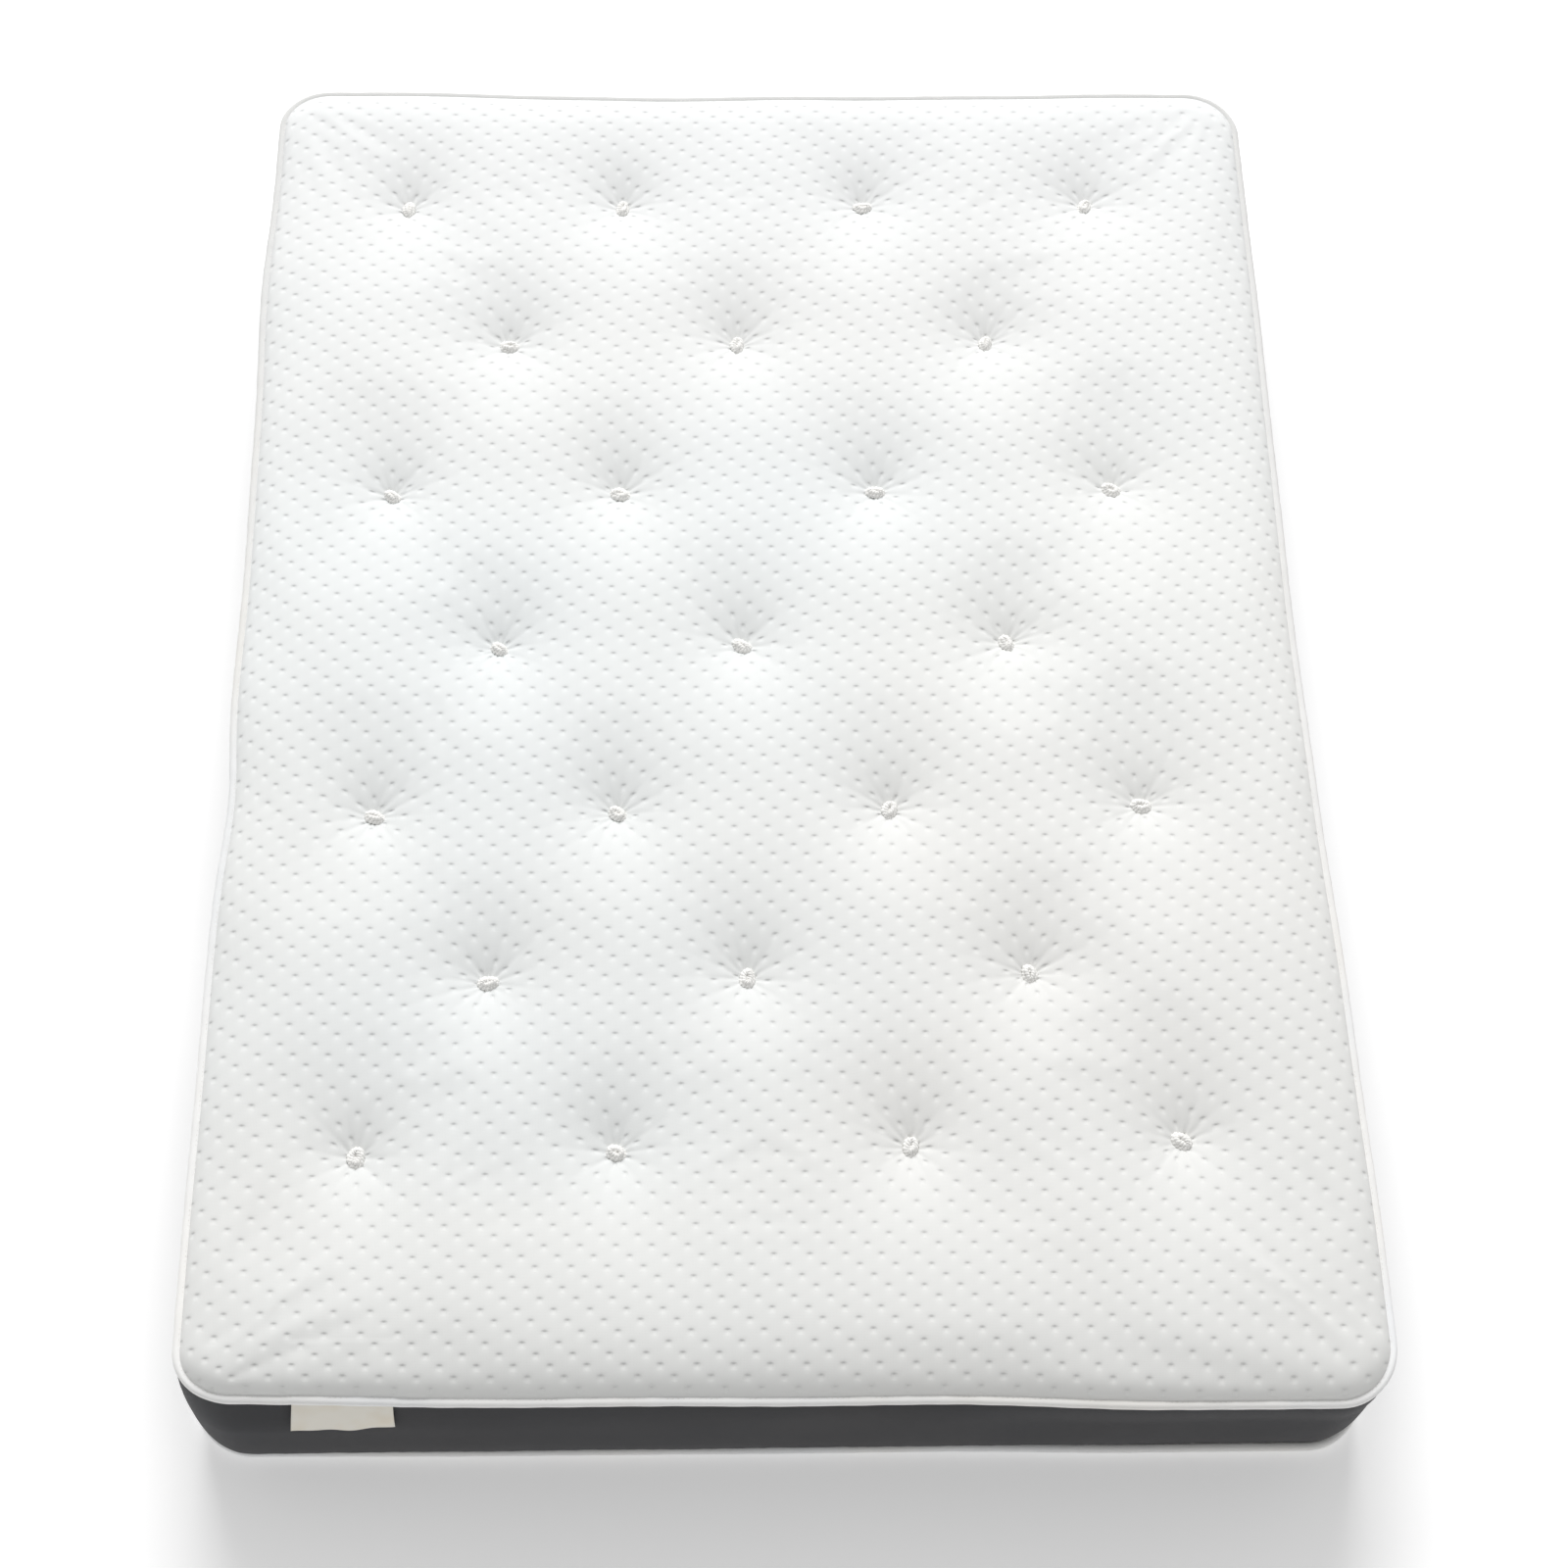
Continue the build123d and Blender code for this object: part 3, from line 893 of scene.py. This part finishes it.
def mixed(tree, share, first, second):
    """A colour between two others."""
    node = tree.nodes.new("ShaderNodeMix")
    node.data_type = "RGBA"
    feed(tree, node.inputs[0], share)
    feed(tree, node.inputs[6], first)
    feed(tree, node.inputs[7], second)
    return node.outputs[2]


def remapped(tree, value, low, high, to_low, to_high):
    """A value moved from one range to another, held at its ends."""
    return add(tree, "MapRange", value, low, high, to_low, to_high).outputs[0]


def distance_of(tree, x, y):
    """Square root of x² + y²."""
    squares = maths(tree, "ADD", maths(tree, "MULTIPLY", x, x), maths(tree, "MULTIPLY", y, y))
    return maths(tree, "SQRT", squares)


def eased(tree, value, end):
    """1 at 0, falling in an S curve to 0 at the end value."""
    ranged = add(tree, "MapRange", value, 0.0, end, 1.0, 0.0, interpolation_type="SMOOTHSTEP")
    return ranged.outputs[0]


def noise(tree, vector, scale, detail=2.0, roughness=0.5):
    """Noise from 0 to 1 about the vector's place."""
    node = tree.nodes.new("ShaderNodeTexNoise")
    feed(tree, node.inputs["Vector"], vector)
    node.inputs["Scale"].default_value = scale
    node.inputs["Detail"].default_value = detail
    node.inputs["Roughness"].default_value = roughness
    return node.outputs[0]


def new_group(name, inputs, outputs):
    """An empty node group with named inputs and outputs. Each is (name, kind, default)."""
    tree = bpy.data.node_groups.new(name, "ShaderNodeTree")
    for title, kind, value in inputs:
        socket = tree.interface.new_socket(title, in_out="INPUT", socket_type="NodeSocket" + kind)
        if value is not None:
            socket.default_value = value
    for title, kind in outputs:
        tree.interface.new_socket(title, in_out="OUTPUT", socket_type="NodeSocket" + kind)
    return tree, tree.nodes.new("NodeGroupInput"), tree.nodes.new("NodeGroupOutput")


def use_group(tree, group, **values):
    """A group placed in a material, with its own values."""
    node = tree.nodes.new("ShaderNodeGroup")
    node.node_tree = group
    for key, value in values.items():
        feed(tree, node.inputs[key.replace("_", " ")], value)
    return node.outputs


def weave_group():
    """Plain weave: two sets of threads as crossed sine ridges that pass over and under each other.
    Height is the thread relief and Shade darkens the gaps."""
    tree, given, result = new_group(
        "woven_threads",
        [("Vector", "Vector", None), ("Threads", "Float", 1000.0)],
        [("Height", "Float"), ("Shade", "Float")],
    )
    scaled = scaled_by(tree, given.outputs["Vector"], given.outputs["Threads"])
    parts = add(tree, "SeparateXYZ", scaled).outputs
    warp = maths(tree, "SINE", maths(tree, "MULTIPLY", parts[0], 2 * math.pi))
    weft = maths(tree, "SINE", maths(tree, "MULTIPLY", parts[1], 2 * math.pi))
    over = maths(tree, "MULTIPLY", warp, weft)
    ridge = maths(tree, "ADD", maths(tree, "ABSOLUTE", warp), maths(tree, "ABSOLUTE", weft))
    height = maths(tree, "ADD", maths(tree, "MULTIPLY", over, 0.35), maths(tree, "MULTIPLY", ridge, 0.5))
    feed(tree, result.inputs["Height"], height)
    feed(tree, result.inputs["Shade"], remapped(tree, ridge, 0.0, 1.2, 0.82, 1.0))
    return tree


def knit_group():
    """Stretch knit: upright columns of small V stitches. Each column leans its two halves with a sine
    of the row, so the ridges read as stitches."""
    tree, given, result = new_group(
        "knit_stitches",
        [("Vector", "Vector", None), ("Columns", "Float", 700.0)],
        [("Height", "Float")],
    )
    scaled = scaled_by(tree, given.outputs["Vector"], given.outputs["Columns"])
    parts = add(tree, "SeparateXYZ", scaled).outputs
    column = maths(tree, "ABSOLUTE", maths(tree, "SINE", maths(tree, "MULTIPLY", parts[0], math.pi)))
    lean = maths(tree, "MULTIPLY", column, 0.5)
    row = maths(tree, "SINE", maths(tree, "MULTIPLY", maths(tree, "ADD", parts[1], lean), 2 * math.pi))
    height = maths(tree, "ADD", maths(tree, "MULTIPLY", column, 0.6), maths(tree, "MULTIPLY", row, 0.4))
    feed(tree, result.inputs["Height"], height)
    return tree


def pit_group():
    """Embossed pits in the same slanting rows as the mesh. Depth falls from 1 in the middle of each pit,
    steeply on its head side and gently on its foot side; the other output marks the pinched fold at its
    head, wider than it is long, where the knit's material paints shade."""
    tree, given, result = new_group(
        "embossed_pits", [("Vector", "Vector", None)], [("Depth", "Float"), ("FoldShade", "Float")]
    )
    scaled = scaled_by(tree, given.outputs["Vector"], 1 / MM)
    parts = add(tree, "SeparateXYZ", scaled).outputs
    row = maths(tree, "ROUND", maths(tree, "MULTIPLY", parts[1], -1 / PIT_ROWS))
    y = maths(tree, "ADD", parts[1], maths(tree, "MULTIPLY", row, PIT_ROWS))
    along = maths(tree, "SUBTRACT", parts[0], maths(tree, "MULTIPLY", row, PIT_SHIFT))
    repeats = maths(tree, "ROUND", maths(tree, "MULTIPLY", along, 1 / PIT_REPEAT))
    x = maths(tree, "SUBTRACT", along, maths(tree, "MULTIPLY", repeats, PIT_REPEAT))
    far = maths(tree, "MULTIPLY", maths(tree, "MAXIMUM", y, 0.0), 1 / PIT_FAR)
    near = maths(tree, "MULTIPLY", maths(tree, "MINIMUM", y, 0.0), 1 / PIT_NEAR)
    dent = distance_of(tree, maths(tree, "MULTIPLY", x, 1 / PIT_WIDE), maths(tree, "ADD", far, near))
    across = maths(tree, "MULTIPLY", x, 1 / 3.3)
    fold = distance_of(tree, across, maths(tree, "MULTIPLY", maths(tree, "SUBTRACT", y, 0.9), 1 / 1.3))
    feed(tree, result.inputs["Depth"], eased(tree, dent, 1.5))
    feed(tree, result.inputs["FoldShade"], eased(tree, fold, 1.0))
    return tree


def fibre_group():
    """Loose fibres and foam grain: two sizes of noise. Height is the relief, Fleck lightens some."""
    tree, given, result = new_group(
        "fibre_grain",
        [("Vector", "Vector", None), ("Coarse", "Float", 400.0)],
        [("Height", "Float"), ("Fleck", "Float")],
    )
    scaled = scaled_by(tree, given.outputs["Vector"], given.outputs["Coarse"])
    broad = noise(tree, scaled, 1.0, 3.0, 0.6)
    fine = noise(tree, scaled, 4.3, 2.0, 0.5)
    height = maths(tree, "ADD", maths(tree, "MULTIPLY", broad, 0.7), maths(tree, "MULTIPLY", fine, 0.3))
    feed(tree, result.inputs["Height"], height)
    feed(tree, result.inputs["Fleck"], remapped(tree, fine, 0.45, 0.75, 0.0, 1.0))
    return tree


def tint_group():
    """Slow drift between three tints over the object, as cloth shows that has been handled."""
    tree, given, result = new_group(
        "tint_drift",
        [
            ("Vector", "Vector", None),
            ("Base", "Color", (1, 1, 1, 1)),
            ("Warm", "Color", (1, 1, 1, 1)),
            ("Cool", "Color", (1, 1, 1, 1)),
            ("Size", "Float", 2.0),
        ],
        [("Color", "Color")],
    )
    scaled = scaled_by(tree, given.outputs["Vector"], given.outputs["Size"])
    shifted = add(tree, "VectorMath", scaled, (7.3, 2.9, 4.1), operation="ADD").outputs[0]
    warm = remapped(tree, noise(tree, scaled, 1.0, 2.0), 0.45, 0.68, 0.0, 1.0)
    cool = remapped(tree, noise(tree, shifted, 0.8, 2.0), 0.48, 0.70, 0.0, 1.0)
    first = mixed(tree, warm, given.outputs["Base"], given.outputs["Warm"])
    feed(tree, result.inputs["Color"], mixed(tree, cool, first, given.outputs["Cool"]))
    return tree


GROUPS = {
    "weave": weave_group(),
    "knit": knit_group(),
    "pits": pit_group(),
    "fibre": fibre_group(),
    "tint": tint_group(),
}


def new_material(name):
    """A material with its Principled shader, and Object coordinates."""
    look = bpy.data.materials.new(name)
    look.use_nodes = True
    tree = look.node_tree
    shader = next(n for n in tree.nodes if n.type == "BSDF_PRINCIPLED")
    place = tree.nodes.new("ShaderNodeTexCoord").outputs["Object"]
    return look, tree, shader, place


def cloth_map(tree):
    """The piece's own cloth coordinates, in metres."""
    return add(tree, "UVMap", uv_map="cloth").outputs[0]


def bumped(tree, shader, height, distance, strength):
    """Feeds a height to the shader's normal: distance is the relief of a height of 1, in metres."""
    node = tree.nodes.new("ShaderNodeBump")
    node.inputs["Strength"].default_value = strength
    node.inputs["Distance"].default_value = distance
    feed(tree, node.inputs["Height"], height)
    feed(tree, shader.inputs["Normal"], node.outputs[0])


def set_cloth(shader, roughness, sheen=0.0, sheen_roughness=0.5, specular=0.3):
    """Constant finish values of a cloth."""
    shader.inputs["Roughness"].default_value = roughness
    shader.inputs["Sheen Weight"].default_value = sheen
    shader.inputs["Sheen Roughness"].default_value = sheen_roughness
    shader.inputs["Specular IOR Level"].default_value = specular


def tinted(tree, place, base, warm, cool, size):
    """A base tint that drifts to a warm and a cool one. A larger size gives smaller patches."""
    colours = {"Base": (*base, 1), "Warm": (*warm, 1), "Cool": (*cool, 1)}
    return use_group(tree, GROUPS["tint"], Vector=place, Size=size, **colours)["Color"]


def grained(tree, place, coarse):
    """Fibre grain: its height, and the flecks that it lightens."""
    grain = use_group(tree, GROUPS["fibre"], Vector=place, Coarse=coarse)
    return grain["Height"], grain["Fleck"]


def woven(tree, shader, threads, gap, colour, depth, strength):
    """Weaves a colour: gap shows between the threads, which stand out by depth, in metres."""
    weave = use_group(tree, GROUPS["weave"], Vector=cloth_map(tree), Threads=threads)
    feed(tree, shader.inputs["Base Color"], mixed(tree, weave["Shade"], (*gap, 1), colour))
    bumped(tree, shader, weave["Height"], depth, strength)


def towards_head(tree, place, start, end, first, last):
    """A value that goes from first to last between two places along the mattress, in metres."""
    along = add(tree, "SeparateXYZ", place).outputs[1]
    return remapped(tree, along, start, end, first, last)


def white_knit():
    """Top panel: white stretch knit, faintly cream and blue in places, with painted shade in the pinched
    folds of its pits and painted shade greying it slowly towards its head end, nearest the key light."""
    look, tree, shader, place = new_material("white_stretch_knit")
    tint = tinted(tree, place, (0.777, 0.782, 0.768), (0.779, 0.776, 0.758), (0.763, 0.784, 0.784), 1.3)
    # Painted shade: the knit greys slowly towards its head end, nearest the key light.
    share = towards_head(tree, place, 0.1, 0.95, 0.0, 1.0)
    tint = mixed(tree, share, tint, (0.735, 0.745, 0.745, 1))
    cloth = cloth_map(tree)
    pit = use_group(tree, GROUPS["pits"], Vector=cloth)
    knit = use_group(tree, GROUPS["knit"], Vector=cloth, Columns=620.0)["Height"]
    # Painted shade: the pinched folds of the pits are greyed, less so towards the head end.
    fold = maths(tree, "MULTIPLY", pit["FoldShade"], towards_head(tree, place, 0.1, 0.95, 0.21, 0.12))
    feed(tree, shader.inputs["Base Color"], mixed(tree, fold, tint, (0.22, 0.225, 0.23, 1)))
    height = maths(tree, "SUBTRACT", maths(tree, "MULTIPLY", knit, 0.05), pit["Depth"])
    bumped(tree, shader, height, 0.00075, 1.0)
    set_cloth(shader, 0.85, sheen=0.08)
    return look


def white_tape():
    """Tape edges: bright white ribbed tape, creamier where hands have held it, with painted shade greying
    it towards its head end, nearest the key light."""
    look, tree, shader, place = new_material("white_ribbed_tape")
    tint = tinted(tree, place, (0.92, 0.915, 0.905), (0.90, 0.88, 0.84), (0.90, 0.91, 0.92), 4.0)
    # Painted shade: the tape greys towards its head end, nearest the key light.
    share = towards_head(tree, place, -0.8, 0.95, 0.0, 1.0)
    tint = mixed(tree, share, tint, (0.63, 0.63, 0.62, 1))
    woven(tree, shader, 700.0, (0.78, 0.77, 0.75), tint, 0.0003, 0.5)
    set_cloth(shader, 0.6, sheen=0.1)
    return look


def charcoal_cloth():
    """Border: charcoal woven cloth with a slight sheen."""
    look, tree, shader, place = new_material("charcoal_border_cloth")
    tint = tinted(tree, place, (0.021, 0.021, 0.024), (0.025, 0.024, 0.026), (0.018, 0.019, 0.023), 5.0)
    share = maths(tree, "MULTIPLY", grained(tree, place, 900.0)[1], 0.5)
    lighter = mixed(tree, share, tint, (0.045, 0.045, 0.050, 1))
    woven(tree, shader, 520.0, (0.008, 0.008, 0.009), lighter, 0.0005, 0.6)
    set_cloth(shader, 0.65, sheen=0.08, sheen_roughness=0.4)
    return look


def grey_base_cloth():
    """Underside: plain dark grey bonded cloth."""
    look, tree, shader, place = new_material("grey_base_cloth")
    fleck = grained(tree, place, 500.0)[1]
    lighter = mixed(tree, fleck, (0.085, 0.085, 0.092, 1), (0.15, 0.15, 0.16, 1))
    woven(tree, shader, 400.0, (0.04, 0.04, 0.045), lighter, 0.0005, 0.5)
    set_cloth(shader, 0.85)
    return look


def cream_label():
    """Label: cream twill tape, blank."""
    look, tree, shader, place = new_material("cream_label_twill")
    tint = tinted(tree, place, (0.86, 0.83, 0.75), (0.82, 0.76, 0.64), (0.88, 0.86, 0.82), 22.0)
    woven(tree, shader, 900.0, (0.66, 0.62, 0.54), tint, 0.0003, 0.5)
    set_cloth(shader, 0.75, sheen=0.1)
    return look


def grain_look(name, first, second, coarse, depth, strength=0.6, roughness=0.9, sheen=0.0):
    """A foam, felt, wadding or thread: two tints of fibre grain, which stands out by depth, in metres."""
    look, tree, shader, place = new_material(name)
    height, fleck = grained(tree, place, coarse)
    feed(tree, shader.inputs["Base Color"], mixed(tree, fleck, (*first, 1), (*second, 1)))
    bumped(tree, shader, height, depth, strength)
    set_cloth(shader, roughness, sheen=sheen)
    return look


# Foams, felts, waddings and threads: two tints, how fine the grain is and how far it stands out, and for
# the threads how strongly it shows, the roughness and the sheen.
GRAINS = {
    "white_sewing_thread": ((0.72, 0.70, 0.66), (0.84, 0.83, 0.80), 1800.0, 0.0002, 0.4, 0.55),
    "white_tuft_yarn": ((0.88, 0.87, 0.845), (0.94, 0.935, 0.92), 1500.0, 0.0006, 0.7, 0.8, 0.2),
    "white_wadding": ((0.80, 0.80, 0.79), (0.88, 0.88, 0.87), 300.0, 0.001),
    "backing_foam": ((0.60, 0.60, 0.60), (0.70, 0.70, 0.70), 800.0, 0.0004),
    "memory_foam": ((0.78, 0.74, 0.52), (0.84, 0.81, 0.62), 900.0, 0.0004),
    "base_foam": ((0.52, 0.60, 0.68), (0.62, 0.69, 0.76), 600.0, 0.0006),
    "grey_felt": ((0.35, 0.34, 0.33), (0.55, 0.53, 0.50), 500.0, 0.0008),
    "tufting_twine": ((0.74, 0.71, 0.63), (0.84, 0.82, 0.76), 2200.0, 0.0003),
}


def dress_hidden_nodes(looks):
    """Materials of the CAD nodes that stay: the foams, the felt and the twines."""
    hidden = {
        "memory_foam_layer": "memory_foam",
        "base_foam_core": "base_foam",
        "bottom_fibre_pad": "grey_felt",
    }
    for name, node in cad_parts.items():
        grain = "tufting_twine" if name.startswith("tufting_twine") else hidden.get(name)
        if grain is not None:
            node.data.materials.clear()
            node.data.materials.append(looks[grain])


# ---- camera, floor and light ----

CAMERA_PLACE = (-0.1284, -1.8378, 3.1866)
CAMERA_DOWN = math.radians(60.78)
CAMERA_YAW = math.radians(-4.75)
CAMERA_ROLL = math.radians(4.04)
CAMERA_LENS = 64.0
FLOOR_REACH = 40.0
FLOOR_GLOW = 0.22
ROOM_LIGHT = 0.51
KEY_PLACE = (-0.3, 6.6, 6.4)
KEY_TARGET = (0, 0, 0.2)
KEY_SIZE = 6.0
KEY_POWER = 840


def add_camera():
    """Camera above the foot end, looking down along the mattress."""
    data = bpy.data.cameras.new("camera")
    data.lens = CAMERA_LENS
    data.sensor_width = 36
    camera = bpy.data.objects.new("camera", data)
    turn = Matrix.Rotation(CAMERA_YAW, 4, "Z")
    tilt = Matrix.Rotation(math.pi / 2 - CAMERA_DOWN, 4, "X")
    roll = Matrix.Rotation(CAMERA_ROLL, 4, "Z")
    camera.matrix_world = Matrix.Translation(CAMERA_PLACE) @ turn @ tilt @ roll
    bpy.context.scene.collection.objects.link(camera)
    bpy.context.scene.camera = camera


def add_key_light():
    """A square soft light beyond the head end, facing the mattress."""
    data = bpy.data.lights.new("key", "AREA")
    data.shape = "SQUARE"
    data.size = KEY_SIZE
    data.energy = KEY_POWER
    lamp = bpy.data.objects.new("key", data)
    aim = Vector(KEY_PLACE) - Vector(KEY_TARGET)
    lamp.matrix_world = Matrix.Translation(KEY_PLACE) @ aim.to_track_quat("Z", "Y").to_matrix().to_4x4()
    bpy.context.scene.collection.objects.link(lamp)


def add_studio():
    """A pale floor that glows a little, and white surroundings."""
    corners = np.array([[-1, -1, 0], [1, -1, 0], [1, 1, 0], [-1, 1, 0]]) * FLOOR_REACH / MM
    floor = make_piece("studio_floor", corners, [np.array([[0, 1, 2, 3]])])
    look, _, shader, _ = new_material("pale_floor")
    shader.inputs["Base Color"].default_value = (0.95, 0.95, 0.95, 1)
    shader.inputs["Roughness"].default_value = 0.9
    shader.inputs["Emission Color"].default_value = (1, 1, 1, 1)
    shader.inputs["Emission Strength"].default_value = FLOOR_GLOW
    floor.data.materials.append(look)
    world = bpy.data.worlds.new("studio")
    world.use_nodes = True
    background = world.node_tree.nodes["Background"]
    background.inputs["Color"].default_value = (1, 1, 1, 1)
    background.inputs["Strength"].default_value = ROOM_LIGHT
    bpy.context.scene.world = world
    bpy.context.scene.view_settings.view_transform = "Standard"


add_camera()
add_studio()
add_key_light()
looks = {name: grain_look(name, *values) for name, values in GRAINS.items()}
flat, surface = panel_surface()
top_panel(white_knit(), flat, surface)
fibre_pad(looks["white_wadding"], flat, surface)
tape = white_tape()
for place, level in (("top", TAPE_LEVEL), ("bottom", LOWER_TAPE_LEVEL)):
    tape_edge("tape_edge_" + place, tape, place + "_tape_edge", level, place == "top")
    tape_stitches("tape_stitches_" + place, looks["white_sewing_thread"], level, place == "top")
side_border(charcoal_cloth())
backing_strip(looks["backing_foam"])
top_tufts(looks["white_tuft_yarn"])
bottom_tufts(looks["white_tuft_yarn"])
label_cloth(cream_label())
bottom_cloth(grey_base_cloth())
dress_hidden_nodes(looks)
